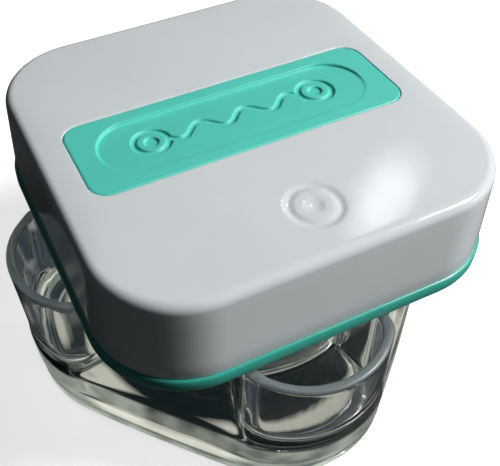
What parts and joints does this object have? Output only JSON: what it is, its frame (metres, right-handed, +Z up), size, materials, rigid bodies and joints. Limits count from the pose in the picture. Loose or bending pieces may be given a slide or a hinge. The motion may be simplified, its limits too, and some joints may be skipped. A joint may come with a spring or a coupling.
{
  "type": "contact lens case",
  "caption": "Square contact lens case: clear tub with a round cup, white lid with a coloured flange and label, and a rack with hinged lens baskets.",
  "frame": {"origin": "centre of the tub's underside, on the cup's axis", "axes": "+Z up along the cup's axis, X and Y along the sides of the tub; the lid at rest is turned 49 degrees about +Z"},
  "size_m": [0.052, 0.052, 0.0304],
  "materials": {
    "clear_plastic": "clear, polished mould surface",
    "clear_base": "clear, polished mould surface",
    "white_plastic": "satin gloss, moulded",
    "aqua_plastic": "satin gloss, moulded",
    "aqua_label": "fine matt texture",
    "silicone": "soft, translucent",
    "rack_plastic": "moulded",
    "aqua_basket": "moulded",
    "white_basket": "moulded",
    "pin_steel": "drawn stainless wire"
  },
  "bodies": {
    "tub": {"tub_body": "clear_plastic", "tub_base": "clear_base"},
    "seal": {"seal_ring": "silicone"},
    "lid": {"lid_shell": "white_plastic", "lid_liner": "aqua_plastic", "label_panel": "aqua_label", "lens_rack": "rack_plastic", "left_hinge_pin": "pin_steel", "right_hinge_pin": "pin_steel"},
    "left_cover": {"left_basket": "aqua_basket"},
    "right_cover": {"right_basket": "white_basket"}
  },
  "joints": [
    {"name": "lid_lift", "type": "slide", "parent": "tub", "child": "seal", "axis": [0, 0, 1], "range_m": [-0.00125, 0.03]},
    {"name": "lid_turn", "type": "hinge", "parent": "seal", "child": "lid", "pos_m": [0, 0, 0.0193], "axis": [0, 0, 1], "range_deg": [-49, 41]},
    {"name": "left_basket_hinge", "type": "hinge", "parent": "lid", "child": "left_cover", "pos_m": [-0.00166, 0.00144, 0.019], "axis": [0.6561, 0.7547, 0], "range_deg": [0, 90]},
    {"name": "right_basket_hinge", "type": "hinge", "parent": "lid", "child": "right_cover", "pos_m": [0.00166, -0.00144, 0.019], "axis": [-0.6561, -0.7547, 0], "range_deg": [0, 90]}
  ]
}
